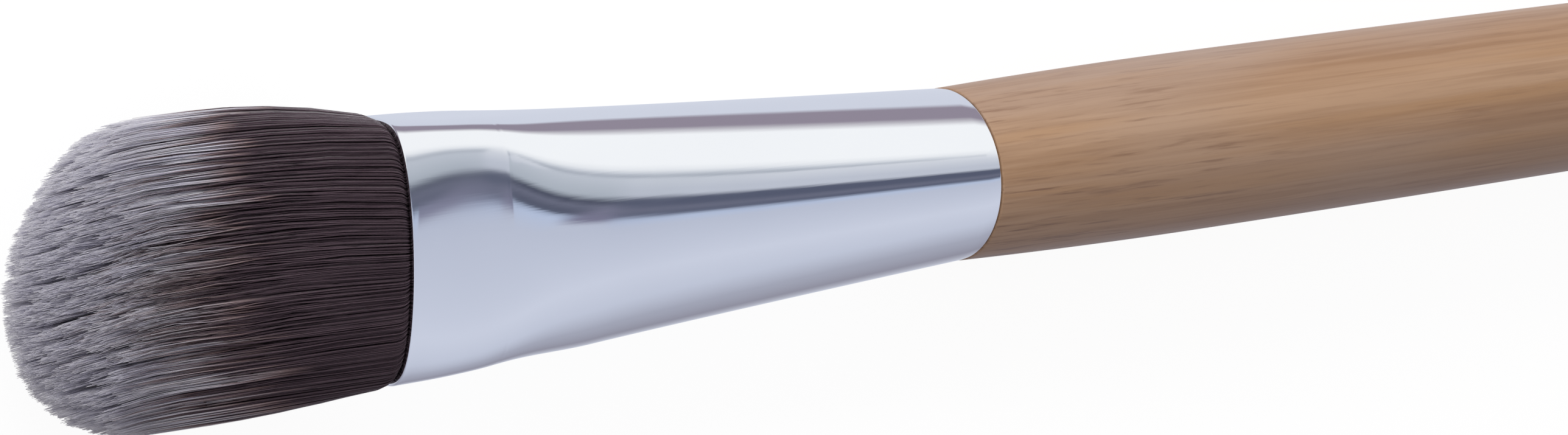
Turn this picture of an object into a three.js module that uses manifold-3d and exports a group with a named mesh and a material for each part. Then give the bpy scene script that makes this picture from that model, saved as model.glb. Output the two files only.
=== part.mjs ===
// Flat concealer brush: a turned bamboo handle, a pressed aluminium ferrule and a tuft of
// synthetic filaments whose bound roots are set in resin inside the ferrule.
// Millimetres. The brush lies on its flat side, +Z up, tuft towards -X and tail towards +X.
// Along the brush, x is 0 at the ferrule's rear edge.
import * as THREE from 'three';
import { mergeVertices } from 'three/addons/utils/BufferGeometryUtils.js';
import Module from 'manifold-3d';

const wasm = await Module();
wasm.setup();

// Ferrule: a tapered tube, round at the handle and pressed to an oval at the mouth
const FERRULE_LENGTH = 34;
const FERRULE_WALL = 0.3;
const REAR_DIAMETER = 8.6;
const MOUTH_WIDTH = 12.9;
const MOUTH_THICKNESS = 6.3;
const FLARE_CURVE = 0.07;
const BAND_LENGTH = 5.5;
const BAND_BLUNTNESS = 4;
const PRESS_DEPTH = 0.35;
const PRESS_RUNOUT = 8;
const EDGE_ROUND = 0.12;

// Handle: a round turning with a tenon in front of its shoulder
const HANDLE_LENGTH = 110;
const SHOULDER_DIAMETER = 8.7;
const BELLY_DIAMETER = 9.2;
const BELLY_AT = 16;
const TAIL_DIAMETER = 7.2;
const TAIL_ROUND = 3.4;
const TAIL_FLAT = 3;
const TENON_LENGTH = 12;
const TENON_CHAMFER = 0.6;
const SHOULDER_EASE = 0.2;

// Glue that holds the tenon, and the gaps between bonded and butted faces
const GLUE_FILM = 0.2;
const GLUE_POOL = 0.8;
const GLUE_SETBACK = 0.6;
const BOND_GAP = 0.05;
const SEAT_GAP = 0.15;

// Root of the tuft: dry depth behind the mouth, resin slice, bound waist, heel and poured plug
const DRY_DEPTH = 4;
const SLICE_LENGTH = 1.6;
const HEEL_LENGTH = 1.2;
const PLUG_LENGTH = 6;
const THREAD_DIAMETER = 0.45;
const THREAD_TURNS = 4;
const THREAD_SPACING = 0.5;

// Tuft: filaments that swell out of the mouth, flare and end in a rounded edge
const TUFT_LENGTH = 20.2;
const TUFT_WIDTH = 16;
const TUFT_THICKNESS = 6.8;
const TUFT_SIDE_LENGTH = 12.6;
const TUFT_WIDEST_AT = 10;
const FACE_SETBACK = 4.8;
const SWELL_LENGTH = 2.5;
const SWELL_PROUD = 0.05;
const FILAMENT_PITCH = 0.43;
const FILAMENT_DIAMETER = 0.32;
const FILAMENT_TAPER = 3.5;
const FILAMENT_EMBED = 0.5;
const LENGTH_SCATTER = 0.5;

// Facets
const OVAL_SIDES = 40;
const HANDLE_SIDES = 32;
const THREAD_SIDES = 5;
const THREAD_STEPS = 30;
const BODY_STEPS = 4;
const TAIL_STEPS = 10;

// Materials
const bamboo = new THREE.MeshStandardMaterial({ color: 0xb08b66, roughness: 0.55, metalness: 0 });
const aluminium = new THREE.MeshStandardMaterial({ color: 0xc9cbd4, roughness: 0.12, metalness: 1 });
const filament = new THREE.MeshStandardMaterial({ color: 0x5d5358, roughness: 0.5, metalness: 0 });
const resin = new THREE.MeshStandardMaterial({ color: 0xd8c79a, roughness: 0.25, metalness: 0 });
const thread = new THREE.MeshStandardMaterial({ color: 0xe6e2d8, roughness: 0.85, metalness: 0 });
const glue = new THREE.MeshStandardMaterial({ color: 0xd9d6cc, roughness: 0.4, metalness: 0 });

// Places along the brush
const mouthX = -FERRULE_LENGTH;
const creaseX = mouthX + BAND_LENGTH;
const sliceX = mouthX + DRY_DEPTH;
const waistX = sliceX + SLICE_LENGTH;
const waistLength = THREAD_TURNS * (THREAD_DIAMETER + THREAD_SPACING) + THREAD_DIAMETER + 2 * BOND_GAP;
const heelX = waistX + waistLength;
const plugX = heelX + HEEL_LENGTH + BOND_GAP;

// A section is an oval: half width along Y, half thickness along Z, and the power of its thickness,
// 2 on an ellipse and more where the faces are flatter and the edges blunter.
function inset(section, by) {
  return { ...section, width: section.width - by, thickness: section.thickness - by };
}

// Outside of the ferrule at x: the cone, less what the press takes from its two faces
function ferruleOutside(x) {
  const along = -x / FERRULE_LENGTH;
  const flare = along * (1 - FLARE_CURVE + FLARE_CURVE * along);
  const pastBand = THREE.MathUtils.clamp((x - creaseX) / PRESS_RUNOUT, 0, 1);
  const pressed = (1 - pastBand) ** 3;
  const coneThickness = MOUTH_THICKNESS / 2 + PRESS_DEPTH;
  return {
    width: THREE.MathUtils.lerp(REAR_DIAMETER / 2, MOUTH_WIDTH / 2, flare),
    thickness: THREE.MathUtils.lerp(REAR_DIAMETER / 2, coneThickness, flare) - PRESS_DEPTH * pressed,
    power: THREE.MathUtils.lerp(2, BAND_BLUNTNESS, pressed),
  };
}

function ferruleInside(x) {
  return inset(ferruleOutside(x), FERRULE_WALL);
}

// Points of an oval ring in the plane at x, counter-clockwise seen from the tail
function ovalRing(x, section) {
  return Array.from({ length: OVAL_SIDES }, (_, i) => {
    const angle = ((i + 0.5) / OVAL_SIDES) * 2 * Math.PI;
    const rise = Math.sin(angle);
    const bulge = Math.sign(rise) * Math.abs(rise) ** (2 / section.power);
    return new THREE.Vector3(x, section.width * Math.cos(angle), section.thickness * bulge);
  });
}

function roundRing(x, radius) {
  return ovalRing(x, { width: radius, thickness: radius, power: 2 });
}

// Quads between neighbouring rings, as triangles that face out when the rings run towards +X
function bandFaces(first, second, sides) {
  return Array.from({ length: sides }, (_, i) => {
    const next = (i + 1) % sides;
    return [first + i, first + next, second + next, first + i, second + next, second + i];
  }).flat();
}

function geometryFrom(points, faces) {
  const geometry = new THREE.BufferGeometry().setFromPoints(points);
  geometry.setIndex(faces);
  geometry.computeVertexNormals();
  return geometry;
}

// A tube whose rings come back to where they started: the outside from front to rear, then the inside
function closedTube(rings) {
  const sides = rings[0].length;
  const faces = rings.flatMap((_, i) => bandFaces(i * sides, ((i + 1) % rings.length) * sides, sides));
  return geometryFrom(rings.flat(), faces);
}

// A loft that is closed by a flat fan at its first ring and at its last
function cappedLoft(rings) {
  const sides = rings[0].length;
  const points = rings.flat();
  const faces = rings.slice(1).flatMap((_, i) => bandFaces(i * sides, (i + 1) * sides, sides));
  const capCentre = (ring) => ring.reduce((sum, p) => sum.add(p), new THREE.Vector3()).divideScalar(sides);
  const firstCentre = points.push(capCentre(rings[0])) - 1;
  const lastCentre = points.push(capCentre(rings.at(-1))) - 1;
  const lastRing = (rings.length - 1) * sides;
  for (let i = 0; i < sides; i += 1) {
    const next = (i + 1) % sides;
    faces.push(firstCentre, next, i);
    faces.push(lastCentre, lastRing + i, lastRing + next);
  }
  return geometryFrom(points, faces);
}

// Evenly spaced values from one end to the other, both included
function spread(from, to, steps) {
  return Array.from({ length: steps + 1 }, (_, i) => THREE.MathUtils.lerp(from, to, i / steps));
}

// Stations where the ferrule's wall is drawn: closer together where the press runs out
function ferruleStations() {
  const runoutEnd = Math.min(creaseX + PRESS_RUNOUT, -EDGE_ROUND);
  const band = spread(mouthX + EDGE_ROUND, creaseX, 2);
  const runout = spread(creaseX, runoutEnd, 7).slice(1);
  const cone = spread(runoutEnd, -EDGE_ROUND, 6).slice(1);
  return [...band, ...runout, ...cone];
}

function ferruleGeometry() {
  const stations = ferruleStations();
  const outside = [
    ovalRing(mouthX, inset(ferruleOutside(mouthX), EDGE_ROUND)),
    ...stations.map((x) => ovalRing(x, ferruleOutside(x))),
    ovalRing(0, inset(ferruleOutside(0), EDGE_ROUND)),
  ];
  const inside = [mouthX, ...stations.slice(1, -1), 0].map((x) => ovalRing(x, ferruleInside(x)));
  return closedTube([...outside, ...inside.reverse()]);
}

// The tenon is turned to the narrow side of the ferrule's bore, less the glue film
function tenonRadius(x) {
  const bore = ferruleInside(x);
  return Math.min(bore.width, bore.thickness) - GLUE_FILM - 2 * BOND_GAP;
}

function handleGeometry() {
  const shoulder = SHOULDER_DIAMETER / 2;
  const belly = BELLY_DIAMETER / 2;
  const tail = TAIL_DIAMETER / 2;
  const tailStart = HANDLE_LENGTH - TAIL_ROUND;
  const shoulderX = SEAT_GAP + SHOULDER_EASE;
  const tailSlope = (2 * (belly - tail)) / (tailStart - BELLY_AT);
  const body = new THREE.Path();
  body.moveTo(0, -TENON_LENGTH);
  body.lineTo(tenonRadius(-TENON_LENGTH) - TENON_CHAMFER, -TENON_LENGTH);
  body.lineTo(tenonRadius(-TENON_LENGTH), TENON_CHAMFER - TENON_LENGTH);
  body.lineTo(tenonRadius(0), SEAT_GAP);
  body.lineTo(shoulder - SHOULDER_EASE, SEAT_GAP);
  body.lineTo(shoulder, shoulderX);
  body.quadraticCurveTo(belly, (shoulderX + BELLY_AT) / 2, belly, BELLY_AT);
  body.quadraticCurveTo(belly, (BELLY_AT + tailStart) / 2, tail, tailStart);
  const end = new THREE.Path();
  end.moveTo(tail, tailStart);
  end.bezierCurveTo(
    tail - (tailSlope * TAIL_ROUND) / 2,
    HANDLE_LENGTH - TAIL_ROUND / 2,
    TAIL_FLAT / 2 + (tail - TAIL_FLAT / 2) / 2,
    HANDLE_LENGTH,
    TAIL_FLAT / 2,
    HANDLE_LENGTH,
  );
  end.lineTo(0, HANDLE_LENGTH);
  const points = [...body.getPoints(BODY_STEPS), ...end.getPoints(TAIL_STEPS).slice(1)];
  const facetTurn = Math.PI / HANDLE_SIDES;
  return new THREE.LatheGeometry(points, HANDLE_SIDES, facetTurn).rotateZ(-Math.PI / 2);
}

// Glue round the tenon, with the pool that is pushed ahead of its end
function adhesiveGeometry() {
  const front = -TENON_LENGTH - BOND_GAP;
  const stations = spread(front, -GLUE_SETBACK, 4);
  const outer = (x) => ovalRing(x, inset(ferruleInside(x), BOND_GAP));
  const inner = (x) => roundRing(x, tenonRadius(Math.max(x, -TENON_LENGTH)) + BOND_GAP);
  const outside = [outer(front - GLUE_POOL), ...stations.map(outer)];
  const inside = stations.map(inner).reverse();
  return cappedLoft([...outside, ...inside]);
}

function plugGeometry() {
  const stations = spread(plugX, plugX + PLUG_LENGTH, 5);
  return cappedLoft(stations.map((x) => ovalRing(x, inset(ferruleInside(x), BOND_GAP))));
}

// Resin-soaked roots: a slice that the filaments stand in, a waist for the thread, and a heel
function rootGeometry() {
  const bonded = (x) => ovalRing(x, inset(ferruleInside(x), BOND_GAP));
  const waist = (x) => ovalRing(x, waistSection());
  const slice = [sliceX, waistX].map(bonded);
  const heel = [heelX, heelX + HEEL_LENGTH].map(bonded);
  return cappedLoft([...slice, waist(waistX), waist(heelX), ...heel]);
}

// The waist is cut deep enough for the thread to lie below the ferrule's wall all along it
function waistSection() {
  const depth = THREAD_DIAMETER + 3 * BOND_GAP;
  const front = ferruleInside(waistX);
  const rear = ferruleInside(heelX);
  return {
    width: Math.min(front.width, rear.width) - depth,
    thickness: Math.min(front.thickness, rear.thickness) - depth,
    power: 2,
  };
}

// One unbroken length of thread, wound round the waist
class ThreadWinding extends THREE.Curve {
  getPoint(share, target = new THREE.Vector3()) {
    const turned = share * THREAD_TURNS;
    const angle = turned * 2 * Math.PI;
    const reach = BOND_GAP + THREAD_DIAMETER / 2;
    const start = waistX + BOND_GAP + THREAD_DIAMETER / 2;
    const section = inset(waistSection(), -reach);
    const x = start + turned * (THREAD_DIAMETER + THREAD_SPACING);
    return target.set(x, section.width * Math.cos(angle), section.thickness * Math.sin(angle));
  }
}

// Least clear distance between turns of the winding, measured on its points
function leastThreadGap(winding) {
  const points = winding.getPoints(THREAD_STEPS * THREAD_TURNS);
  const halfTurn = THREAD_STEPS / 2;
  const gaps = points.flatMap((a, i) => points.slice(i + halfTurn).map((b) => a.distanceTo(b)));
  return Math.min(...gaps) - THREAD_DIAMETER;
}

function threadGeometry() {
  const winding = new ThreadWinding();
  console.log(`binding thread: least gap between turns ${leastThreadGap(winding).toFixed(2)} mm`);
  const corners = Array.from({ length: THREAD_SIDES }, (_, i) => {
    const angle = (i / THREAD_SIDES) * 2 * Math.PI;
    return new THREE.Vector2(Math.cos(angle), Math.sin(angle)).multiplyScalar(THREAD_DIAMETER / 2);
  });
  const options = { steps: THREAD_STEPS * THREAD_TURNS, extrudePath: winding, bevelEnabled: false };
  return new THREE.ExtrudeGeometry(new THREE.Shape(corners), options);
}

// The oval that the filaments' axes fill at x: inside the ferrule its bore, and past the mouth the tuft
function tuftSection(x) {
  const bore = inset(ferruleInside(Math.max(x, mouthX)), BOND_GAP + FILAMENT_DIAMETER / 2);
  const out = mouthX - x;
  if (out <= 0) return bore;
  const swell = THREE.MathUtils.smoothstep(out, 0, SWELL_LENGTH);
  const flare = THREE.MathUtils.smoothstep(out, 0, TUFT_WIDEST_AT);
  const swollen = inset(ferruleOutside(mouthX), FILAMENT_DIAMETER / 2 - SWELL_PROUD);
  const widest = inset({ width: TUFT_WIDTH / 2, thickness: TUFT_THICKNESS / 2 }, FILAMENT_DIAMETER / 2);
  const blend = (key) => THREE.MathUtils.lerp(
    THREE.MathUtils.lerp(bore[key], swollen[key], swell), widest[key], flare);
  return { width: blend('width'), thickness: blend('thickness'), power: bore.power };
}

// Even scatter from -1 to 1 that is the same on every run
function scatter(seed) {
  const wave = Math.sin(seed * 12.9898) * 43758.5453;
  return 2 * (wave - Math.floor(wave)) - 1;
}

// Length past the mouth of the filament at a share of the half width and of the half thickness,
// with a scatter that is the same on both sides of the brush
function filamentLength({ across, through }) {
  const dome = Math.sqrt(Math.max(0, 1 - across ** 2));
  const edge = THREE.MathUtils.lerp(TUFT_SIDE_LENGTH, TUFT_LENGTH - LENGTH_SCATTER, dome);
  return edge - FACE_SETBACK * through ** 2 * dome + LENGTH_SCATTER * scatter(across ** 2 + through);
}

// Places of the filaments: rows in the mouth, out to its edge, every other one half a pitch along
function filamentPlaces() {
  const mouth = tuftSection(mouthX);
  const rowPitch = (FILAMENT_PITCH * Math.sqrt(3)) / 2;
  const rows = Math.floor(mouth.thickness / rowPitch);
  const columns = Math.floor(mouth.width / FILAMENT_PITCH);
  const places = [];
  for (let row = -rows; row <= rows; row += 1) {
    for (let column = -columns; column <= columns; column += 1) {
      const across = (column + (row % 2 ? 0.5 : 0)) / columns;
      const through = row / rows;
      const within = across ** 2 + Math.abs(through) ** mouth.power <= 1;
      if (within) places.push({ across, through });
    }
  }
  return places;
}

// One three-sided filament from inside the resin slice to its tip, added to a shared list
function addFilament(points, faces, place) {
  const end = mouthX - filamentLength(place);
  const stations = [
    { x: sliceX + FILAMENT_EMBED, size: 1 },
    { x: mouthX, size: 1 },
    { x: mouthX - SWELL_LENGTH, size: 1 },
    { x: end + FILAMENT_TAPER, size: 0.85 },
  ];
  const centre = (x) => {
    const section = tuftSection(x);
    return new THREE.Vector3(x, place.across * section.width, place.through * section.thickness);
  };
  const start = points.length;
  for (const { x, size } of stations) {
    for (let corner = 0; corner < 3; corner += 1) {
      const angle = (corner / 3) * 2 * Math.PI + Math.PI / 2;
      const reach = (size * FILAMENT_DIAMETER) / 2;
      const offset = new THREE.Vector3(0, Math.cos(angle), Math.sin(angle)).multiplyScalar(reach);
      points.push(centre(x).add(offset));
    }
  }
  const tip = points.push(centre(end)) - 1;
  const last = start + 3 * (stations.length - 1);
  stations.slice(1).forEach((_, i) => faces.push(...bandFaces(start + 3 * i + 3, start + 3 * i, 3)));
  faces.push(start, start + 1, start + 2);
  for (let corner = 0; corner < 3; corner += 1) {
    faces.push(last + corner, tip, last + ((corner + 1) % 3));
  }
}

// A closed geometry as a solid for joining, and a solid as a geometry
function solidFrom(geometry) {
  const bare = geometry.clone();
  bare.deleteAttribute('normal');
  bare.deleteAttribute('uv');
  const merged = mergeVertices(bare);
  return new wasm.Manifold(new wasm.Mesh({
    numProp: 3,
    vertProperties: new Float32Array(merged.attributes.position.array),
    triVerts: new Uint32Array(merged.index.array),
  }));
}

function geometryOf(solid) {
  const mesh = solid.getMesh();
  const geometry = new THREE.BufferGeometry();
  geometry.setAttribute('position', new THREE.BufferAttribute(mesh.vertProperties, mesh.numProp));
  geometry.setIndex(new THREE.BufferAttribute(mesh.triVerts, 1));
  geometry.computeVertexNormals();
  return geometry;
}

function tuftGeometry() {
  const points = [];
  const faces = [];
  const places = filamentPlaces();
  places.forEach((place) => addFilament(points, faces, place));
  console.log(`tuft: ${places.length} filaments`);
  return geometryOf(solidFrom(geometryFrom(points, faces)).add(solidFrom(rootGeometry())));
}

// Assembly
const brush = new THREE.Group();

function addPiece(name, geometry, material) {
  const piece = new THREE.Mesh(geometry, material);
  piece.name = name;
  brush.add(piece);
}

addPiece('handle', handleGeometry(), bamboo);
addPiece('ferrule', ferruleGeometry(), aluminium);
addPiece('filament_tuft', tuftGeometry(), filament);
addPiece('binding_thread', threadGeometry(), thread);
addPiece('resin_plug', plugGeometry(), resin);
addPiece('handle_adhesive', adhesiveGeometry(), glue);

// The origin is on the table, under the middle of the brush's length
const extent = new THREE.Box3().setFromObject(brush);
const middle = extent.getCenter(new THREE.Vector3());
brush.position.set(-middle.x, -middle.y, -extent.min.z);

export default new THREE.Group().add(brush);
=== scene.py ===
# Looks of a flat concealer brush: turned bamboo handle, pressed aluminium ferrule, two-tone filaments.
import math

import bpy
from mathutils import Matrix, Vector


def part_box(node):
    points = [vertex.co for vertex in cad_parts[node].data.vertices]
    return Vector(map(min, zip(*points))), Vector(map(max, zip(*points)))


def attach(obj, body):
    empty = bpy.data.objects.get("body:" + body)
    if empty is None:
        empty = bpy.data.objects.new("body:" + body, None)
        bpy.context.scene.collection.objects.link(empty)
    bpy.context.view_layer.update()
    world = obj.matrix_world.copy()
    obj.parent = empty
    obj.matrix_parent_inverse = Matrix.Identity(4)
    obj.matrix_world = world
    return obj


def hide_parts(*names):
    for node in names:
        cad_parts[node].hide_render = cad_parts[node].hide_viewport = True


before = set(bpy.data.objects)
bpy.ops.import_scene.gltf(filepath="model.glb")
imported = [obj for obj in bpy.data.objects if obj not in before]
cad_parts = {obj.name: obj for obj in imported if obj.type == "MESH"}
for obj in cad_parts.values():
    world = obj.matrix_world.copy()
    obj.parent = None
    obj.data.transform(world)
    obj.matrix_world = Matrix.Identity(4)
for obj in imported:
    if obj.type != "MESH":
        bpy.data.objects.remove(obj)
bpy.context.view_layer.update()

# Sizes in millimetres, most of them the solids' own. x is 0 at the ferrule's rear edge, the tuft at -x.
FERRULE_LENGTH = 34.0
FERRULE_WALL = 0.3
REAR_DIAMETER = 8.6
MOUTH_WIDTH = 12.9
MOUTH_THICKNESS = 6.3
FLARE_CURVE = 0.07
BAND_LENGTH = 5.5
BAND_BLUNTNESS = 5.0
FLATTEST_AT = 3.7
FLATTENED_AHEAD = 3.8
FLATTENED_BEHIND = 2.9
PRESS_DEPTH = 0.35
PRESS_RUNOUT = 8.0
LIP_ROUND = 0.12
CREASE_ROUND = 0.3
CREASE_WIDTH = 0.2
CREASE_DEPTH = 0.003
DRAWN_IN = 0.05
DRAWN_IN_FROM = 11.5

HANDLE_LENGTH = 110.0
SHOULDER_DIAMETER = 8.7
BELLY_DIAMETER = 9.2
BELLY_AT = 16.0
TAIL_DIAMETER = 7.2
TAIL_ROUND = 3.4
TAIL_FLAT = 3.0
TENON_LENGTH = 12.0
TENON_CHAMFER = 0.6
SHOULDER_EASE = 0.1
TENON_CORNER = 0.02
HANDLE_FACETS = 32
GLUE_FILM = 0.2
BOND_GAP = 0.05
SEAT_GAP = 0.05

DRY_DEPTH = 4.0
SLICE_LENGTH = 1.6
HEEL_LENGTH = 1.2
THREAD_DIAMETER = 0.45
THREAD_TURNS = 4
THREAD_SPACING = 0.5

TUFT_LENGTH = 20.2
TUFT_WIDTH = 16.0
TUFT_THICKNESS = 6.8
TUFT_SIDE_LENGTH = 12.6
TUFT_WIDEST_AT = 10.0
FACE_SETBACK = 4.8
SWELL_LENGTH = 0.8
SWELL_PROUD = 0.05
LENGTH_SCATTER = 0.5

# Room that the filaments keep inside the solid tuft and the bore, and their reach into the bound roots
SIDE_ROOM = 0.72
FACE_ROOM = 0.1
CORNER_ROOM = 0.4
MOUTH_ROOM = 0.07
ROOT_ROOM = 0.1
ROOT_OVERLAP = 0.4

# Fineness of the shown pieces
FERRULE_SIDES = 192
HANDLE_SIDES = 128
ROOT_SIDES = 96
THREAD_SIDES = 10
THREAD_STEPS = 72
FILAMENTS = 13500
FILAMENT_RADIUS = 0.043

# The window's side, as shares of +X, +Y and +Z
WINDOW_SIDE = (-0.36, 0.86, 0.36)

# The photograph's camera: its place in the brush's millimetres, and the picture's right and up
CAMERA_LENS = 138.63
SENSOR_WIDTH = 36.0
CAMERA_PLACE = (-185.64, 55.27, 229.25)
PICTURE_RIGHT = (0.7945, 0.0026, 0.6073)
PICTURE_UP = (0.1141, 0.9815, -0.1536)

# Where the brush lies: its own millimetres to the row's metres
MM = 0.001
REAR_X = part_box("ferrule")[1].x
AXIS_Z = (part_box("handle")[0].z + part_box("handle")[1].z) / 2
ROW_FROM_BRUSH = Matrix.Translation((REAR_X, 0, AXIS_Z)) @ Matrix.Scale(MM, 4)
MOUTH_X = -FERRULE_LENGTH
CREASE_X = MOUTH_X + BAND_LENGTH


def lerp(a, b, share):
    return a + (b - a) * share


def lerp3(a, b, share):
    return tuple(lerp(p, q, share) for p, q in zip(a, b))


def spread(start, end, steps):
    return [lerp(start, end, i / steps) for i in range(steps + 1)]


# Node wiring

class Wire:
    """An output socket of a node tree that expressions can be written with."""

    def __init__(self, tree, socket=None):
        self.tree = tree
        self.socket = socket

    def node(self, kind, settings=None, inputs=None, output=0):
        """Adds a node: first its settings, then its sockets' values or wires. Gives one of its outputs."""
        made = self.tree.nodes.new(kind)
        for name, value in (settings or {}).items():
            if name == "stops":
                set_stops(made.color_ramp, value)
            else:
                setattr(made, name, value)
        for key, value in (inputs or {}).items():
            if isinstance(value, Wire):
                self.tree.links.new(value.socket, made.inputs[key])
            else:
                made.inputs[key].default_value = value
        return Wire(self.tree, made.outputs[output]) if len(made.outputs) else made

    def other(self, name):
        """Another output of the same node."""
        return Wire(self.tree, self.socket.node.outputs[name])

    def parts(self):
        """The three components of a vector."""
        split = self.node("ShaderNodeSeparateXYZ", inputs={0: self})
        return [split.other(axis) for axis in "XYZ"]

    def math(self, operation, *others):
        """A Math node that takes this value first."""
        return self.node("ShaderNodeMath", {"operation": operation}, dict(enumerate((self, *others))))

    def math_second(self, operation, first):
        """A Math node that takes this value second."""
        return self.node("ShaderNodeMath", {"operation": operation}, {0: first, 1: self})

    def __add__(self, other):
        return self.math("ADD", other)

    __radd__ = __add__

    def __sub__(self, other):
        return self.math("SUBTRACT", other)

    def __rsub__(self, other):
        return self.math_second("SUBTRACT", other)

    def __mul__(self, other):
        return self.math("MULTIPLY", other)

    __rmul__ = __mul__

    def __truediv__(self, other):
        return self.math("DIVIDE", other)

    def __rtruediv__(self, other):
        return self.math_second("DIVIDE", other)

    def __pow__(self, other):
        return self.math("POWER", other)

    def at_least(self, other):
        return self.math("MAXIMUM", other)

    def at_most(self, other):
        return self.math("MINIMUM", other)

    def ease(self, low, high, start=0.0, end=1.0):
        """Rises smoothly from start to end as this value goes from low to high."""
        sockets = {0: self, 1: low, 2: high, 3: start, 4: end}
        return self.node("ShaderNodeMapRange", {"interpolation_type": "SMOOTHSTEP"}, sockets)

    def toward(self, other, share):
        """Straight mix of two numbers."""
        return self + (other - self) * share

    def tint(self, low, high):
        """Colour between two colours, with this value as the share."""
        sockets = {0: self, 6: (*low, 1) if isinstance(low, tuple) else low,
                   7: (*high, 1) if isinstance(high, tuple) else high}
        return self.node("ShaderNodeMix", {"data_type": "RGBA"}, sockets, output=2)


def set_stops(ramp, stops):
    """Fills a colour ramp with (place, colour) stops."""
    while len(ramp.elements) > 1:
        ramp.elements.remove(ramp.elements[-1])
    for i, (place, colour) in enumerate(stops):
        element = ramp.elements[0] if i == 0 else ramp.elements.new(place)
        element.position = place
        element.color = (*colour, 1)


def new_material(name):
    """A material with an empty Principled shader: gives the material, its start wire and the shader."""
    material = bpy.data.materials.new(name)
    material.use_nodes = True
    shader = material.node_tree.nodes["Principled BSDF"]
    return material, Wire(material.node_tree), shader


def feed(shader, **inputs):
    """Links wires to a shader's sockets, and sets plain values on them."""
    for key, value in inputs.items():
        socket = shader.inputs[key.replace("_", " ")]
        if isinstance(value, Wire):
            shader.id_data.links.new(value.socket, socket)
        else:
            socket.default_value = value


def brush_place(start):
    """Object coordinates in the brush's own millimetres."""
    place = start.node("ShaderNodeTexCoord", output=3)
    sockets = {"Vector": place, "Scale": (1 / MM,) * 3, "Location": (-REAR_X / MM, 0, -AXIS_Z / MM)}
    return start.node("ShaderNodeMapping", inputs=sockets)


def stretched_noise(place, scale, detail=2.0, roughness=0.5):
    """Noise drawn out along the brush: scale is cycles per millimetre along and across."""
    along, across = scale
    sockets = {"Vector": place, "Scale": (along, across, across)}
    vector = place.node("ShaderNodeMapping", inputs=sockets)
    sockets = {"Vector": vector, "Scale": 1.0, "Detail": detail, "Roughness": roughness}
    return place.node("ShaderNodeTexNoise", inputs=sockets)


def bump(height, strength, distance):
    sockets = {"Height": height, "Strength": strength, "Distance": distance}
    return height.node("ShaderNodeBump", inputs=sockets)


# Finishes

def bamboo_finish():
    material, start, shader = new_material("bamboo")
    place = brush_place(start)
    figure = stretched_noise(place, (0.016, 0.30), 2.0)
    fibre = stretched_noise(place, (0.045, 2.2), 3.0, 0.6)
    fine = stretched_noise(place, (0.10, 8.0), 2.0)
    patches = stretched_noise(place, (0.06, 0.55), 1.0).ease(0.38, 0.64)
    near_ferrule = place.parts()[0].ease(4.0, 24.0, 1.35, 0.5)
    marks = stretched_noise(place, (0.24, 4.4), 3.0, 0.6).ease(0.50, 0.74)
    dashes = marks * (patches * 0.7 + 0.3) * near_ferrule
    gilt = stretched_noise(place, (0.022, 0.75), 2.0).ease(0.50, 0.70)
    light = (0.455, 0.278, 0.163)
    warm = (0.335, 0.184, 0.092)
    streak = (0.20, 0.098, 0.048)
    golden = (0.43, 0.235, 0.105)
    # Pinkish grey of a painted sheen, standing in for the coat's reflection of pale light
    painted_sheen_colour = (0.43, 0.308, 0.235)
    tone = figure.ease(0.36, 0.66) * 0.5 + fibre.ease(0.40, 0.62) * 0.5
    # Painted sheen: soft large patches where the base colour turns pinkish grey, mixed in at half strength
    painted_sheen_patches = stretched_noise(place, (0.035, 0.22), 1.0).ease(0.46, 0.70)
    wood_with_painted_sheen = (painted_sheen_patches * 0.5).tint((gilt * 0.55).tint(tone.tint(light, warm), golden), painted_sheen_colour)
    marked = (dashes * 0.62 + fine.ease(0.52, 0.75) * 0.16).tint(wood_with_painted_sheen, streak)
    feed(shader, Base_Color=marked, Roughness=0.42 + fine * 0.16, Coat_Weight=0.45)
    feed(shader, Coat_Roughness=0.38, Normal=bump(fibre + fine * 0.5, 0.12, 0.00006))
    return material


def aluminium_finish():
    material, start, shader = new_material("polished_aluminium")
    place = brush_place(start)
    smudge = stretched_noise(place, (0.12, 0.16), 3.0)
    hairline = stretched_noise(place, (0.05, 7.0), 2.0)
    feed(shader, Base_Color=smudge.tint((0.93, 0.935, 0.945), (0.89, 0.895, 0.915)), Metallic=1.0)
    band = place.parts()[0].ease(CREASE_X - 0.3, CREASE_X + 0.6, 0.05, 0.0)
    feed(shader, Roughness=0.045 + smudge.ease(0.4, 0.8) * 0.05 + hairline.ease(0.55, 0.8) * 0.03 + band)
    feed(shader, Normal=bump(hairline, 0.03, 0.00002))
    return material


def filament_finish():
    """Dark root, a brown fade and a pale tip: paled is 0 at the dye's edge and rises towards the tip,
    faster on the top side as painted light from above.
    """
    material, start, shader = new_material("filament")
    paled, shade = (start.node("ShaderNodeAttribute", {"attribute_name": name}, output=2)
                    for name in ("paled", "shade"))
    mottle = stretched_noise(brush_place(start), (0.32, 4.5), 2.0).ease(0.36, 0.64)
    shade = shade * 0.5 + mottle * 0.5
    root = shade.tint((0.058, 0.039, 0.050), (0.106, 0.075, 0.092))
    fade = shade.tint((0.185, 0.122, 0.122), (0.33, 0.243, 0.25))
    tip = shade.tint((0.53, 0.515, 0.67), (0.91, 0.895, 1.0))
    colour = paled.ease(-0.3, 5.8).tint(paled.ease(-1.8, 0.9).tint(root, fade), tip)
    feed(shader, Base_Color=colour, Roughness=0.6, Specular_IOR_Level=0.12)
    feed(shader, Subsurface_Weight=0.7, Subsurface_Radius=(1.0, 1.0, 1.0), Subsurface_Scale=0.00015)
    return material


def resin_finish():
    material, start, shader = new_material("resin")
    place = brush_place(start)
    cloud = stretched_noise(place, (0.5, 0.5), 3.0)
    feed(shader, Base_Color=cloud.tint((0.72, 0.58, 0.33), (0.84, 0.74, 0.52)))
    feed(shader, Roughness=0.16 + cloud * 0.14, Coat_Weight=0.4)
    return material


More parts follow.
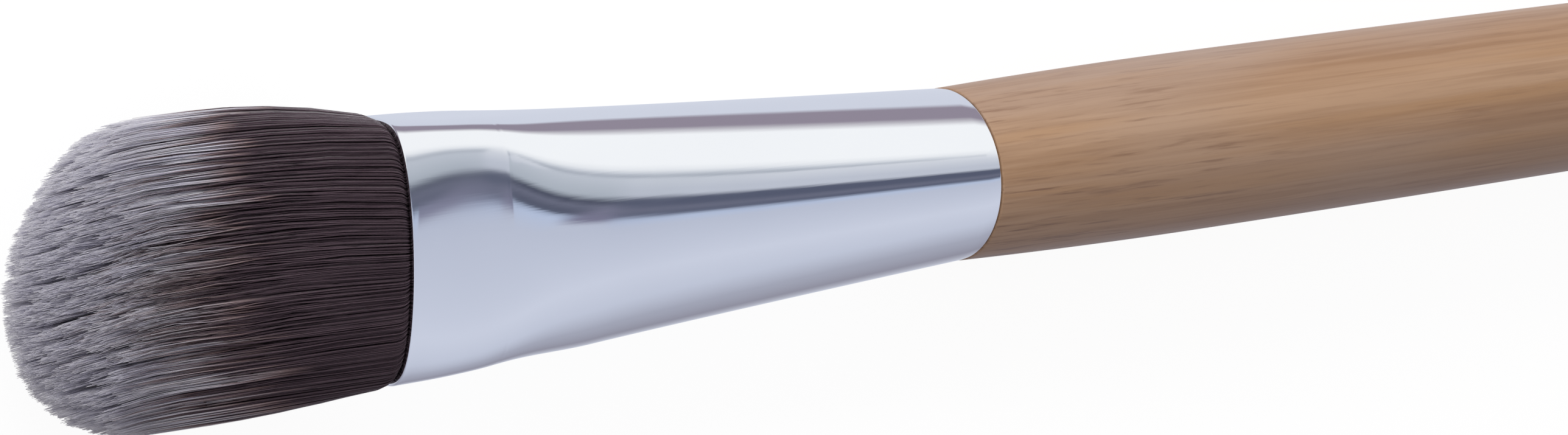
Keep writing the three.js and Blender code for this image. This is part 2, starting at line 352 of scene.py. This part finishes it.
def glue_finish():
    material, start, shader = new_material("glue")
    place = brush_place(start)
    cloud = stretched_noise(place, (0.9, 0.9), 4.0)
    feed(shader, Base_Color=cloud.tint((0.70, 0.68, 0.62), (0.86, 0.84, 0.78)))
    feed(shader, Roughness=0.3 + cloud * 0.25)
    return material


def thread_finish():
    material, start, shader = new_material("thread")
    place = brush_place(start)
    lay = place.node("ShaderNodeTexWave", inputs={"Vector": place, "Scale": 1.6, "Distortion": 1.5})
    feed(shader, Base_Color=lay.tint((0.66, 0.63, 0.56), (0.88, 0.86, 0.80)), Roughness=0.82)
    feed(shader, Normal=bump(lay, 0.3, 0.00008))
    return material


def root_finish():
    material, start, shader = new_material("bound_roots")
    place = brush_place(start)
    strands = stretched_noise(place, (0.08, 7.0), 2.0)
    feed(shader, Base_Color=strands.tint((0.09, 0.06, 0.05), (0.30, 0.22, 0.15)))
    feed(shader, Roughness=0.25 + strands * 0.2)
    feed(shader, Normal=bump(strands, 0.3, 0.00006))
    return material


# Ferrule

def press_share(x):
    """Share of the press's depth at x: full in the band, rounded at the crease, none past the run-out."""
    past_band = CREASE_ROUND * math.log1p(math.exp((x - CREASE_X) / CREASE_ROUND))
    return (1 - min(past_band / PRESS_RUNOUT, 1)) ** 3


def flat_share(x):
    """Share of the flattening at x: most in the middle of the band, as a rounded die leaves it."""
    off = x - MOUTH_X - FLATTEST_AT
    return 1 / (1 + (abs(off) / (FLATTENED_AHEAD if off < 0 else FLATTENED_BEHIND)) ** 2.6)


def ferrule_outside(x):
    """Half width, half thickness and power through the thickness of the ferrule's outside at x."""
    along = -x / FERRULE_LENGTH
    flare = along * (1 - FLARE_CURVE + FLARE_CURVE * along)
    cone = lerp(REAR_DIAMETER / 2, MOUTH_THICKNESS / 2 + PRESS_DEPTH, flare)
    width = lerp(REAR_DIAMETER / 2, MOUTH_WIDTH / 2, flare)
    return width, cone - PRESS_DEPTH * press_share(x), lerp(2, BAND_BLUNTNESS, flat_share(x))


def inset(section, by):
    width, thickness, power = section
    return width - by, thickness - by, power


def ferrule_inside(x):
    return inset(ferrule_outside(x), FERRULE_WALL)


def drawn_in(x):
    """Share of the ferrule's -Y edge that is left at x: the press draws that edge in along the band."""
    share = min(max((MOUTH_X + DRAWN_IN_FROM - x) / (DRAWN_IN_FROM - BAND_LENGTH), 0), 1)
    return 1 - DRAWN_IN * share * share * (3 - 2 * share)


def oval_ring(x, section, sides):
    """Points of an oval in the plane at x: an ellipse at power 2, with blunter edges at more."""
    width, thickness, power = section
    narrow = width * drawn_in(x)
    points = []
    for i in range(sides):
        angle = (i + 0.5) / sides * 2 * math.pi
        rise = math.sin(angle)
        bulge = math.copysign(abs(rise) ** (2 / power), rise)
        reach = math.cos(angle)
        points.append((x, (width if reach > 0 else narrow) * reach, thickness * bulge))
    return points


def ring_piece(name, rings, material, closed=False):
    """A smooth piece from rings that run towards +x outside. Closed joins the last ring to the first."""
    sides = len(rings[0])
    points = [p for ring in rings for p in ring]
    faces = []
    for r in range(len(rings) if closed else len(rings) - 1):
        first, second = r * sides, (r + 1) % len(rings) * sides
        faces += [(first + i, first + (i + 1) % sides, second + (i + 1) % sides, second + i)
                  for i in range(sides)]
    if not closed:
        faces.append(tuple(range(sides))[::-1])
        faces.append(tuple(range((len(rings) - 1) * sides, len(rings) * sides)))
    mesh = bpy.data.meshes.new(name)
    mesh.from_pydata(points, [], faces)
    mesh.transform(ROW_FROM_BRUSH)
    mesh.shade_smooth()
    mesh.materials.append(material)
    piece = bpy.data.objects.new(name, mesh)
    bpy.context.scene.collection.objects.link(piece)
    return piece


def lip_rings(x, inward, steps):
    """Stations of a rounded edge at x: (place, inset) pairs from the edge face to the full section."""
    turn = [i / steps * math.pi / 2 for i in range(steps + 1)]
    return [(x + inward * LIP_ROUND * (1 - math.sin(a)), LIP_ROUND * (1 - math.cos(a))) for a in turn][::-1]


def crease_dent(x):
    """Depth of the fine line that the press leaves at the end of the band."""
    share = min(abs(x - CREASE_X) / CREASE_WIDTH, 1)
    return CREASE_DEPTH * (1 - share ** 2) ** 2


def make_ferrule(material):
    body = spread(MOUTH_X + LIP_ROUND, CREASE_X - CREASE_WIDTH, 18)
    body += spread(CREASE_X - CREASE_WIDTH, CREASE_X + CREASE_WIDTH, 8)[1:]
    body += spread(CREASE_X + CREASE_WIDTH, CREASE_X + PRESS_RUNOUT, 30)[1:]
    body += spread(CREASE_X + PRESS_RUNOUT, -LIP_ROUND, 30)[1:]
    mouth_edge = lip_rings(MOUTH_X, 1, 5)
    rear_edge = lip_rings(0, -1, 5)[::-1]
    stations = mouth_edge + [(x, crease_dent(x)) for x in body[1:-1]] + rear_edge
    outside = [oval_ring(x, inset(ferrule_outside(x), by), FERRULE_SIDES) for x, by in stations]
    inside = [oval_ring(x, ferrule_inside(x), FERRULE_SIDES) for x in [MOUTH_X, *body[1:-1], 0]]
    return ring_piece("aluminium_ferrule", outside + inside[::-1], material, closed=True)


# Handle

def curve(points, steps):
    """Points of the Bezier curve that has these control points, without its first."""
    order = len(points) - 1
    made = []
    for i in range(1, steps + 1):
        t = i / steps
        weights = [math.comb(order, k) * (1 - t) ** (order - k) * t ** k for k in range(order + 1)]
        made.append(tuple(sum(w * p[axis] for w, p in zip(weights, points)) for axis in range(2)))
    return made


def tenon_radius(x):
    width, thickness, _ = ferrule_inside(x)
    return min(width, thickness) - GLUE_FILM - 2 * BOND_GAP


def handle_profile():
    """(x, radius) points from the tenon's end to the tail's flat."""
    shoulder, belly = SHOULDER_DIAMETER / 2, BELLY_DIAMETER / 2
    tail, flat = TAIL_DIAMETER / 2, TAIL_FLAT / 2
    tail_start = HANDLE_LENGTH - TAIL_ROUND
    tail_slope = 2 * (belly - tail) / (tail_start - BELLY_AT)
    tenon_end = tenon_radius(-TENON_LENGTH)
    points = [(-TENON_LENGTH, tenon_end - TENON_CHAMFER), (TENON_CHAMFER - TENON_LENGTH, tenon_end)]
    tenon = tenon_radius(0)
    points += [(SEAT_GAP - TENON_CORNER, tenon), (SEAT_GAP, tenon + TENON_CORNER)]
    for i in range(6):
        angle = i / 5 * math.pi / 2
        points.append((SEAT_GAP + SHOULDER_EASE * (1 - math.cos(angle)),
                       shoulder - SHOULDER_EASE * (1 - math.sin(angle))))
    edge = points[-1]
    points += curve([edge, ((edge[0] + BELLY_AT) / 2, belly), (BELLY_AT, belly)], 24)
    points += curve([points[-1], ((BELLY_AT + tail_start) / 2, belly), (tail_start, tail)], 60)
    points += curve([points[-1], (HANDLE_LENGTH - TAIL_ROUND / 2, tail - tail_slope * TAIL_ROUND / 2),
                     (HANDLE_LENGTH, (flat + tail) / 2), (HANDLE_LENGTH, flat)], 20)
    return points


def make_handle(material):
    """The turned handle, as large as fits inside the solid's facets."""
    fit = math.cos(math.pi / HANDLE_FACETS)
    rings = [oval_ring(x, (r * fit, r * fit, 2), HANDLE_SIDES) for x, r in handle_profile()]
    return ring_piece("bamboo_handle", rings, material)


# Roots of the tuft, inside the ferrule

SLICE_X = MOUTH_X + DRY_DEPTH
WAIST_X = SLICE_X + SLICE_LENGTH
THREAD_PITCH = THREAD_DIAMETER + THREAD_SPACING
HEEL_X = WAIST_X + THREAD_TURNS * THREAD_PITCH + THREAD_DIAMETER + 2 * BOND_GAP


def waist_section():
    """The waist that the thread is wound in: half width, half thickness and power."""
    depth = THREAD_DIAMETER + 3 * BOND_GAP
    ends = ferrule_inside(WAIST_X), ferrule_inside(HEEL_X)
    return min(e[0] for e in ends) - depth, min(e[1] for e in ends) - depth, 2


def make_roots(material):
    waist = waist_section()
    steps = SLICE_X, WAIST_X, HEEL_X, HEEL_X + HEEL_LENGTH
    bonded = [(x, inset(ferrule_inside(x), BOND_GAP)) for x in steps]
    sections = bonded[:2] + [(WAIST_X, waist), (HEEL_X, waist)] + bonded[2:]
    return ring_piece("bound_roots", [oval_ring(x, s, ROOT_SIDES) for x, s in sections], material)


def make_thread(material):
    """One thread wound round the waist from its front end to the heel."""
    radius = THREAD_DIAMETER / 2
    width, thickness, _ = inset(waist_section(), -BOND_GAP - radius)
    rings = []
    for i in range(THREAD_TURNS * THREAD_STEPS + 1):
        turn = i / THREAD_STEPS
        angle = turn * 2 * math.pi
        x = WAIST_X + BOND_GAP + radius + turn * THREAD_PITCH
        reach, rise = math.cos(angle), math.sin(angle)
        core = Vector((x, width * reach * (1 if reach > 0 else drawn_in(x)), thickness * rise))
        out = Vector((0, reach / width, rise / thickness)).normalized()
        turns = [k / THREAD_SIDES * 2 * math.pi for k in range(THREAD_SIDES)]
        rings.append([core + radius * (math.cos(a) * Vector((1, 0, 0)) + math.sin(a) * out) for a in turns])
    return ring_piece("wound_thread", rings, material)


# Filaments

FREE_STATIONS = (0.22, 0.42, 0.60, 0.76, 0.90, 1.0)
ROOT_STATIONS = (-DRY_DEPTH - ROOT_OVERLAP, 0.0, 0.2, 0.45, SWELL_LENGTH)
ATLAS_COLUMNS = 64.0
GOLDEN_ANGLE = math.pi * (3 - math.sqrt(5))


def filament_blank():
    """A three-sided filament: x is millimetres past the mouth up to the swell, then a share of the rest."""
    stations = [*ROOT_STATIONS, *(SWELL_LENGTH + share for share in FREE_STATIONS)]
    corners = [math.pi / 2 + k * 2 * math.pi / 3 for k in range(3)]
    points = [(x, math.cos(a), math.sin(a)) for x in stations for a in corners]
    faces = []
    for r in range(len(stations) - 1):
        a, b = 3 * r, 3 * r + 3
        faces += [(b + k, b + (k + 1) % 3, a + (k + 1) % 3, a + k) for k in range(3)]
    last = 3 * (len(stations) - 1)
    faces += [(0, 1, 2), (last + 2, last + 1, last)]
    mesh = bpy.data.meshes.new("filament_blank")
    mesh.from_pydata(points, [], faces)
    blank = bpy.data.objects.new("filament_blank", mesh)
    bpy.context.scene.collection.objects.link(blank)
    return blank


def tuft_sizes():
    """The tuft tree's inputs by name, with their values."""
    mouth, root = ferrule_inside(MOUTH_X), ferrule_inside(MOUTH_X + DRY_DEPTH)
    swollen = ferrule_outside(MOUTH_X)
    return {
        "Lowest": -1.0, "Highest": 1.0,
        "Root width": root[0] - ROOT_ROOM, "Root thickness": root[1] - ROOT_ROOM,
        "Mouth width": mouth[0] - MOUTH_ROOM, "Mouth thickness": mouth[1] - MOUTH_ROOM,
        "Swollen width": swollen[0] + SWELL_PROUD - FILAMENT_RADIUS,
        "Swollen thickness": swollen[1] + SWELL_PROUD - FILAMENT_RADIUS,
        "Tuft width": TUFT_WIDTH / 2 - SIDE_ROOM, "Tuft thickness": TUFT_THICKNESS / 2 - FACE_ROOM,
        "Tuft length": TUFT_LENGTH - LENGTH_SCATTER, "Side length": TUFT_SIDE_LENGTH - CORNER_ROOM,
        "Face setback": FACE_SETBACK, "Swell length": SWELL_LENGTH, "Widest at": TUFT_WIDEST_AT,
        "Dry depth": DRY_DEPTH,
        "Length scatter": 0.6, "Filament radius": FILAMENT_RADIUS, "Lean": 0.50, "Droop": 0.62,
        # Painted light above: how much faster the top side pales, standing in for the light from above
        "Dye edge": 10.6, "Dye fall below": 2.6, "Dye fall above": 1.9, "Paling above": 2.0,
        "Dye lead": 1.1, "Dye spread": 3.2, "Late dye": 6.0,
        "Clump size": 0.55, "Clumping": 0.27, "Clump bend": 0.17, "Clump scatter": 1.2,
        "Clump shade": 0.6, "Splay": 0.10,
        "Wave": 0.4, "Wave across": 7.0, "Wave through": 4.0, "Wave along": 0.16,
        "Wiggle": 0.36, "Wiggle step": 1.37, "Wiggle along": 0.5, "Jitter": 0.03, "Blunting": 0.85,
    }


class TuftTree:
    """The tuft's node tree: its named inputs, and the geometry that the steps below build up in turn."""

    def __init__(self, sizes, counts):
        self.tree = bpy.data.node_groups.new("filament_tuft", "GeometryNodeTree")
        self.tree.interface.new_socket("Geometry", in_out="OUTPUT", socket_type="NodeSocketGeometry")
        self.keys = {}
        for kind, group in (("NodeSocketFloat", sizes), ("NodeSocketInt", counts)):
            for name, value in group.items():
                socket = self.tree.interface.new_socket(name, in_out="INPUT", socket_type=kind)
                socket.default_value = value
                self.keys[name] = socket.identifier
        entry = self.tree.nodes.new("NodeGroupInput")
        self.size = {name: Wire(self.tree, entry.outputs[name]) for name in (*sizes, *counts)}
        self.start = Wire(self.tree)
        self.geometry = None

    def step(self, kind, settings=None, inputs=None):
        """Passes the geometry through a node."""
        self.geometry = self.start.node(kind, settings, {0: self.geometry, **(inputs or {})})

    def chance(self, number):
        """A random share for each point."""
        sockets = {2: 0.0, 3: 1.0, 8: self.size["Seed"] + number}
        return self.start.node("FunctionNodeRandomValue", {"data_type": "FLOAT"}, sockets, output=1)

    def keep(self, name, value, kind="FLOAT", domain="POINT"):
        """Keeps a value on the geometry under a name."""
        settings = {"data_type": kind, "domain": domain}
        self.step("GeometryNodeStoreNamedAttribute", settings, {2: name, 3: value})

    def kept(self, name):
        """A number that was kept under a name."""
        return self.start.node("GeometryNodeInputNamedAttribute", {"data_type": "FLOAT"}, {0: name})

    def reach(self):
        """Share of the tuft's length that a filament has come, from none at the mouth."""
        return self.kept("out").at_least(0.0) / self.size["Tuft length"]

    def opening(self, length):
        """Share of its opening that the tuft has reached: all of it at this length past the mouth."""
        share = (self.kept("out") / length).at_least(0.0).at_most(1.0)
        return share * (2 - share)


def plant_points(tuft):
    """One point for each filament, spiralling out from the middle of the mouth."""
    count, jitter = tuft.size["Count"], tuft.size["Jitter"]
    tuft.geometry = tuft.start.node("GeometryNodePoints", inputs={"Count": count})
    for number, name in enumerate(("long", "shade", "own_dye", "side", "lift")):
        tuft.keep(name, tuft.chance(number))
    index = tuft.start.node("GeometryNodeInputIndex")
    radius = ((index + 0.5) / count) ** 0.5
    angle = index * GOLDEN_ANGLE
    tuft.keep("across", radius * angle.math("COSINE") + (tuft.kept("side") - 0.5) * jitter)
    tuft.keep("through", radius * angle.math("SINE") + (tuft.kept("lift") - 0.5) * jitter)


def gather_clumps(tuft):
    """Neighbours share a clump: its middle, its bend, its length, its shade and its dye."""
    size = tuft.size
    across = tuft.kept("across") * size["Tuft width"]
    through = tuft.kept("through") * size["Tuft thickness"]
    plane = tuft.start.node("ShaderNodeCombineXYZ", inputs={0: across, 1: through})
    sockets = {"Vector": plane, "Scale": 1 / size["Clump size"]}
    middle = tuft.start.node("ShaderNodeTexVoronoi", {"voronoi_dimensions": "2D"}, sockets, "Position")
    middle_y, middle_z, _ = middle.parts()
    tuft.keep("clump_across", middle_y / size["Tuft width"])
    tuft.keep("clump_through", middle_z / size["Tuft thickness"])
    lucks = middle.other("Color").parts()
    for name, luck in zip(("bend_y", "bend_z", "clump_long"), lucks):
        tuft.keep(name, luck)
    tuft.keep("shade", tuft.kept("shade").toward(lucks[1], size["Clump shade"]))
    clump_dye = (lucks[0] - 0.5) * size["Dye spread"] + size["Dye lead"]
    tuft.keep("dye", clump_dye - tuft.kept("own_dye") ** 3.0 * size["Late dye"])


def keep_layer(tuft):
    """Leaves the points of one layer, and numbers them."""
    through = tuft.kept("through")
    below = through.math("LESS_THAN", tuft.size["Lowest"])
    above = through.math("GREATER_THAN", tuft.size["Highest"])
    tuft.step("GeometryNodeDeleteGeometry", {"domain": "POINT"}, {1: below.at_least(above)})
    tuft.keep("cell", tuft.start.node("GeometryNodeInputIndex"))


def grow_blanks(tuft, blank):
    """The blank at each point, with how far its corners lie out of the mouth and past the dye's edge; that
    share runs faster on the top side, as painted light from above.
    """
    size = tuft.size
    shape = tuft.start.node("GeometryNodeObjectInfo", inputs={"Object": blank}, output=4)
    tuft.step("GeometryNodeInstanceOnPoints", inputs={"Instance": shape})
    tuft.step("GeometryNodeRealizeInstances")
    along, side_y, side_z = tuft.start.node("GeometryNodeInputPosition").parts()
    across, through = tuft.kept("across"), tuft.kept("through")
    dome = (1 - across * across).at_least(0.0).math("SQRT")
    edge = size["Side length"].toward(size["Tuft length"], dome)
    depth = through * through
    own_scatter = tuft.kept("long") ** 2.0 * size["Length scatter"]
    clump_scatter = tuft.kept("clump_long") * depth * size["Clump scatter"]
    length = edge - size["Face setback"] * depth * dome - (own_scatter + clump_scatter)
    free = (along - size["Swell length"]).at_least(0.0)
    out = along.at_most(size["Swell length"]) + free * (length - size["Swell length"])
    fall_below = (across * -1.0).ease(0.25, 0.7) * size["Dye fall below"]
    fall_above = across.ease(0.62, 0.95) * size["Dye fall above"]
    dyed = size["Dye edge"] - (fall_below + fall_above)
    # Painted light: the top side pales faster, so it is lighter where the light from above falls
    lit_top_paling = across.ease(0.0, 0.8, 1.0, size["Paling above"])
    tuft.keep("paled", (out - dyed + tuft.kept("dye")) * lit_top_paling)
    for name, value in (("out", out), ("free", free), ("side_y", side_y), ("side_z", side_z)):
        tuft.keep(name, value)


def lay_strips(tuft):
    """A strip of the baked picture for each filament."""
    cell = tuft.kept("cell")
    column = cell.math("MODULO", ATLAS_COLUMNS)
    row = (cell / ATLAS_COLUMNS).math("FLOOR")
    from_root = (tuft.kept("out") + DRY_DEPTH + ROOT_OVERLAP) / (TUFT_LENGTH + DRY_DEPTH + 1.0)
    u = (column + 0.5 + tuft.kept("side_y") * 0.46) / ATLAS_COLUMNS
    v = (row + 0.05 + 0.9 * from_root) / ATLAS_COLUMNS
    strip = tuft.start.node("ShaderNodeCombineXYZ", inputs={0: u, 1: v})
    tuft.keep("OFBake", strip, "FLOAT2", "CORNER")


def half_size(tuft, axis):
    """Half the bundle's width or thickness: the bore's, then the swollen mouth's, then the tuft's own."""
    size = tuft.size
    inside = ((tuft.kept("out") * -1.0).at_least(0.0) / size["Dry depth"]).at_most(1.0)
    bore = size[f"Mouth {axis}"].toward(size[f"Root {axis}"], inside)
    swollen = bore.toward(size[f"Swollen {axis}"], tuft.opening(size["Swell length"]))
    return swollen.toward(size[f"Tuft {axis}"], tuft.opening(size["Widest at"]))


def blunting(tuft):
    """How many times farther out a filament stands than in an ellipse, while the bundle is blunt."""
    across, through = tuft.kept("across"), tuft.kept("through")
    level = across * across / (across * across + through * through)
    steep = (1 - level) * (1 - level) * 4.0
    blunt = (2.0 / (level + (level * level + steep).math("SQRT"))).math("SQRT")
    return 1 + (blunt - 1) * (1 - tuft.opening(tuft.size["Widest at"])) * tuft.size["Blunting"]


def wandering(tuft, detail, *coordinates):
    """Two noises that change with the coordinates."""
    way = tuft.start.node("ShaderNodeCombineXYZ", inputs=dict(enumerate(coordinates)))
    sockets = {"Vector": way, "Scale": 1.0, "Detail": detail}
    return tuft.start.node("ShaderNodeTexNoise", inputs=sockets, output="Color").parts()[:2]


def sways(tuft):
    """How far a filament swings across and through the tuft: with its clump, its region and alone."""
    size, out, reach = tuft.size, tuft.kept("out"), tuft.reach()
    across, through = tuft.kept("across"), tuft.kept("through")
    region = across * size["Wave across"], through * size["Wave through"], out * size["Wave along"]
    own_row = tuft.kept("cell") * size["Wiggle step"], out * size["Wiggle along"]
    waves, wiggles = wandering(tuft, 1.0, *region), wandering(tuft, 0.0, *own_row)
    loose = reach.ease(0.0, 0.36) * size["Wiggle"]
    inner = 1.05 - across * across
    made = []
    for bend, own, wave, wiggle in zip(("bend_y", "bend_z"), ("side", "lift"), waves, wiggles):
        bent = (tuft.kept(bend) - 0.5) * size["Clump bend"] + (wave - 0.5) * size["Wave"]
        splay = (tuft.kept(own) - 0.5) * size["Splay"]
        made.append(((bent * reach + splay) * reach * 2.0 + (wiggle - 0.5) * loose) * inner)
    return made


def bend_filaments(tuft):
    """Each filament led from the roots through the mouth to its place in the tuft."""
    size, free, reach = tuft.size, tuft.kept("free"), tuft.reach()
    flare = tuft.opening(size["Widest at"])
    pull = reach.ease(0.30, 1.0) * size["Clumping"]
    y = tuft.kept("across").toward(tuft.kept("clump_across"), pull)
    z = tuft.kept("through").toward(tuft.kept("clump_through"), pull)
    spill = (y * y + z * z).math("SQRT").at_least(1.0)
    drawn = 1 - y.math("LESS_THAN", 0.0) * (1 - flare) * DRAWN_IN
    lean = flare * size["Lean"] - reach.ease(0.62, 1.0) * size["Droop"]
    blunt = blunting(tuft)
    sway_y, sway_z = sways(tuft)
    y = y / spill * blunt * drawn * half_size(tuft, "width") + sway_y + lean
    z = z / spill * blunt * half_size(tuft, "thickness") + sway_z * 0.5
    girth = size["Filament radius"] * (1.5 - free * 0.5) * (1 - free.ease(0.5, 1.0) * 0.75)
    corner_y, corner_z = (tuft.kept(side) * girth for side in ("side_y", "side_z"))
    corner = {0: MOUTH_X - tuft.kept("out"), 1: y + corner_y, 2: z + corner_z}
    place = tuft.start.node("ShaderNodeCombineXYZ", inputs=corner)
    tuft.step("GeometryNodeSetPosition", inputs={"Position": place})


def filament_tree(blank, material):
    """The tuft's node tree, and its inputs' identifiers by name."""
    tuft = TuftTree(tuft_sizes(), {"Count": FILAMENTS, "Seed": 7})
    plant_points(tuft)
    gather_clumps(tuft)
    keep_layer(tuft)
    grow_blanks(tuft, blank)
    lay_strips(tuft)
    bend_filaments(tuft)
    tuft.step("GeometryNodeSetShadeSmooth")
    tuft.step("GeometryNodeSetMaterial", inputs={"Material": material})
    tuft.start.node("NodeGroupOutput", inputs={0: tuft.geometry})
    return tuft.tree, tuft.keys


def make_filaments(material):
    """The filaments in five layers of like number through the tuft's thickness."""
    blank = filament_blank()
    tree, keys = filament_tree(blank, material)
    near, far, beyond = 0.158, 0.492, 1.1
    layers = {
        "filaments_top": (far, beyond),
        "filaments_upper": (near, far),
        "filaments_core": (-near, near),
        "filaments_lower": (-far, -near),
        "filaments_bottom": (-beyond, -far),
    }
    pieces = []
    for name, (lowest, highest) in layers.items():
        piece = bpy.data.objects.new(name, bpy.data.meshes.new(name))
        bpy.context.scene.collection.objects.link(piece)
        grown = piece.modifiers.new("filaments", "NODES")
        grown.node_group = tree
        grown[keys["Lowest"]] = lowest
        grown[keys["Highest"]] = highest
        bpy.context.view_layer.update()
        evaluated = piece.evaluated_get(bpy.context.evaluated_depsgraph_get())
        mesh = bpy.data.meshes.new_from_object(evaluated)
        piece.modifiers.clear()
        mesh.transform(ROW_FROM_BRUSH)
        mesh.name = name
        numbers = [a.name for a in mesh.attributes if a.data_type == "FLOAT"]
        for spent in set(numbers) - {"paled", "shade"}:
            mesh.attributes.remove(mesh.attributes[spent])
        piece.data = mesh
        pieces.append(piece)
    bpy.data.objects.remove(blank)
    return pieces


# Studio

def around(degrees):
    """Place on a ramp of a direction that many degrees about the brush's length, from +Y up."""
    return (degrees + 180) / 360


def light_world():
    """The studio round the brush: bands of wall, window and table that turn about its length."""
    world = bpy.data.worlds.new("studio")
    world.use_nodes = True
    tree = world.node_tree
    tree.nodes.clear()
    start = Wire(tree)
    direction = start.node("ShaderNodeTexCoord", output=0)
    along, across, up = direction.parts()
    turn = up.math("ARCTAN2", across) / (2 * math.pi) + 0.5
    wall, wall_low, corner = (0.63, 0.67, 0.79), (0.52, 0.56, 0.68), (0.30, 0.30, 0.37)
    table, mauve, window = (0.665, 0.70, 0.80), (0.30, 0.265, 0.33), (0.96, 0.98, 1.0)
    sill, gap, glint = (0.54, 0.575, 0.66), (0.095, 0.108, 0.165), (0.48, 0.56, 0.74)
    screen, screen_edge, screen_low = (0.535, 0.575, 0.645), (0.40, 0.435, 0.50), (0.425, 0.47, 0.535)
    black, streak = (0.0, 0.0, 0.0), (0.15, 0.16, 0.225)
    foot, foot_low = (0.225, 0.23, 0.315), (0.185, 0.18, 0.27)
    far_side = lerp3(corner, wall_low, 0.4)
    below = [(-180, far_side), (-150, corner), (-105, table), (-28, table), (-20, mauve), (1, mauve),
             (8, lerp3(mauve, window, 0.45)), (15, window)]
    above = [(97, wall_low), (126, wall), (150, lerp3(wall_low, wall, 0.4)), (178, far_side)]
    open_side = [(50, window), (57, lerp3(sill, window, 0.75)), (64, lerp3(sill, window, 0.3)), (73, sill),
                 (77.5, sill), (80, gap), (84, gap), (87, streak), (90.5, gap), (92.5, glint)]
    screened = [(53, window), (57.5, lerp3(screen, window, 0.75)), (60.8, lerp3(screen, window, 0.15)),
                (62.8, screen_edge), (65.5, screen), (78, screen_low)]

    def bands(stops):
        placed = [(around(degrees), tone) for degrees, tone in stops]
        return start.node("ShaderNodeValToRGB", {"stops": placed}, {0: turn})

    # Mirrored rays that run far along the brush look past the screen; those that run least see a hollow
    lift = turn - around(65)
    open_from = (along + (lift * 0.77).at_most(lift * 3.0)).ease(0.567, 0.579)
    flat_from = (along + lift * 3.9).ease(0.712, 0.756)
    hollow = [(81.3, lerp3(gap, black, 0.3)), (84.5, streak), (88.5, lerp3(gap, black, 0.2)), (90.5, glint)]
    flat = [(81.5, foot), (91.5, foot_low), (94, wall_low)]
    behind_band, off_band = (bands(below + screened + end + above) for end in (hollow, flat))
    colour = open_from.tint(flat_from.tint(behind_band, off_band), bands(below + open_side + above))
    facing = along * WINDOW_SIDE[0] + across * WINDOW_SIDE[1] + up * WINDOW_SIDE[2]
    soft = facing.ease(-0.7, 1.0).tint((0.24, 0.217, 0.212), (0.61, 0.605, 0.62))
    mirrored = start.node("ShaderNodeLightPath", output=3)
    seen = start.node("ShaderNodeLightPath", output=0)
    light = seen.tint(mirrored.tint(soft, colour), (1.0, 1.0, 1.0))
    studio = start.node("ShaderNodeBackground", inputs={"Color": light, "Strength": 1.0})
    start.node("ShaderNodeOutputWorld", inputs={0: studio})
    bpy.context.scene.world = world


def make_floor():
    """A plain pale table that stays white in view and keeps the brush's soft shadow."""
    reach, drop = 1.5, 0.0002
    mesh = bpy.data.meshes.new("table")
    corners = [(-reach, -reach, 0), (reach, -reach, 0), (reach, reach, 0), (-reach, reach, 0)]
    mesh.from_pydata(corners, [], [(0, 1, 2, 3)])
    floor = bpy.data.objects.new("table", mesh)
    floor.location.z = -drop
    bpy.context.scene.collection.objects.link(floor)
    material = bpy.data.materials.new("table_white")
    material.use_nodes = True
    tree = material.node_tree
    tree.nodes.clear()
    start = Wire(tree)
    matt = start.node("ShaderNodeBsdfDiffuse", inputs={"Color": (0.86, 0.86, 0.87, 1)})
    glow = start.node("ShaderNodeEmission", inputs={"Color": (1, 1, 1, 1), "Strength": 1.08})
    seen = start.node("ShaderNodeLightPath", output=0)
    mixed = start.node("ShaderNodeMixShader", inputs={0: seen * 0.86, 1: matt, 2: glow})
    start.node("ShaderNodeOutputMaterial", inputs={0: mixed})
    mesh.materials.append(material)
    floor.visible_glossy = False


def add_softbox(name, location, size, watts, colour):
    """A square lamp that faces the ferrule."""
    light = bpy.data.lights.new(name, "AREA")
    light.size = size
    light.energy = watts
    light.color = colour
    lamp = bpy.data.objects.new(name, light)
    aim = ROW_FROM_BRUSH @ Vector((-10, 0, 0))
    lamp.location = location
    lamp.rotation_euler = (aim - Vector(location)).to_track_quat("-Z", "Y").to_euler()
    lamp.visible_glossy = False
    bpy.context.scene.collection.objects.link(lamp)


def add_camera():
    """The photograph's view: steep, from the tuft's side, with the brush's width upright in the picture."""
    data = bpy.data.cameras.new("camera")
    data.lens = CAMERA_LENS
    data.sensor_width = SENSOR_WIDTH
    data.clip_start = 0.01
    camera = bpy.data.objects.new("camera", data)
    right = Vector(PICTURE_RIGHT)
    back = right.cross(Vector(PICTURE_UP)).normalized()
    up = back.cross(right).normalized()
    turned = Matrix((right, up, back)).transposed().to_4x4()
    camera.matrix_world = Matrix.Translation(ROW_FROM_BRUSH @ Vector(CAMERA_PLACE)) @ turned
    bpy.context.scene.collection.objects.link(camera)
    bpy.context.scene.camera = camera


# The brush
add_camera()
bamboo = bamboo_finish()
aluminium = aluminium_finish()
filament = filament_finish()

handle = make_handle(bamboo)
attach(handle, "root")
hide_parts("handle")

ferrule = make_ferrule(aluminium)
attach(ferrule, "root")
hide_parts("ferrule")

roots = make_roots(root_finish())
for piece in (roots, *make_filaments(filament)):
    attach(piece, "root")
    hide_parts("filament_tuft")

thread = make_thread(thread_finish())
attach(thread, "root")
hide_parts("binding_thread")

for node, finish in (("resin_plug", resin_finish()), ("handle_adhesive", glue_finish())):
    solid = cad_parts[node].data
    solid.materials.clear()
    solid.materials.append(finish)

# Light and table
light_world()
make_floor()
add_softbox("window_light", location=(-0.22, 0.62, 0.30), size=0.45, watts=3.35, colour=(1.0, 0.99, 0.97))

bpy.context.scene.view_settings.view_transform = "Standard"
